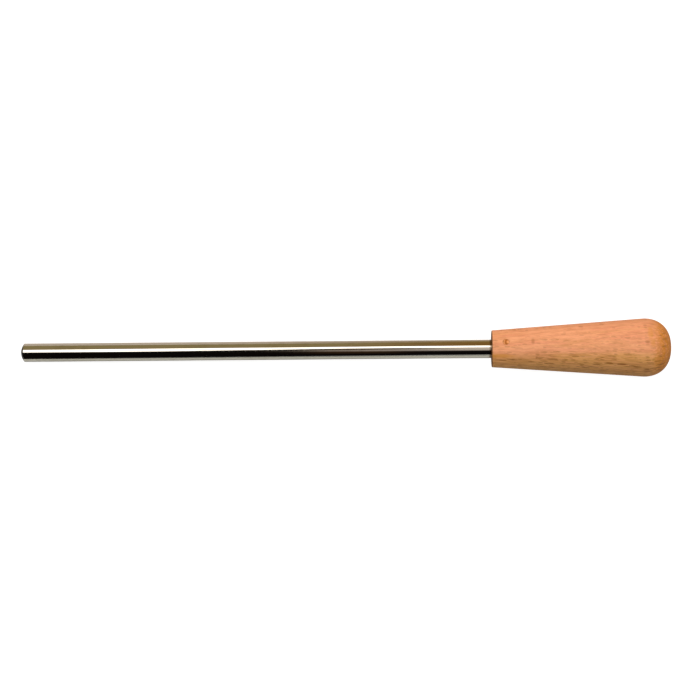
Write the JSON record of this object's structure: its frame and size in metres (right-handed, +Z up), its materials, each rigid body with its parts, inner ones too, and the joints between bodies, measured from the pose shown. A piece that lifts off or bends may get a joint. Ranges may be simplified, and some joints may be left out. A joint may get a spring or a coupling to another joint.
{
  "type": "garden dibber",
  "caption": "Straight garden dibber: a blunt, bright-plated round steel rod set in a short turned beech handle that widens to a rounded butt.",
  "frame": {"origin": "centre of the small flat in the middle of the rod's crowned tip", "axes": "+X along the tool from the rod's tip to the handle's butt, +Z up with the tool lying down and the pin's plug on top"},
  "size_m": [0.3525, 0.0314, 0.0314],
  "materials": {
    "nickel_plate": "mirror-bright nickel plate with fine lengthwise polishing marks",
    "beech": "fine-sanded beech with a thin satin oil finish",
    "adhesive": "hardened amber epoxy adhesive",
    "pin_steel": "plain drawn steel",
    "plug_wood": "sanded end grain, darker than the handle"
  },
  "bodies": {
    "root": {"rod": "nickel_plate", "handle": "beech", "adhesive_pool": "adhesive", "cross_pin": "pin_steel", "pin_plug": "plug_wood"}
  },
  "joints": []
}
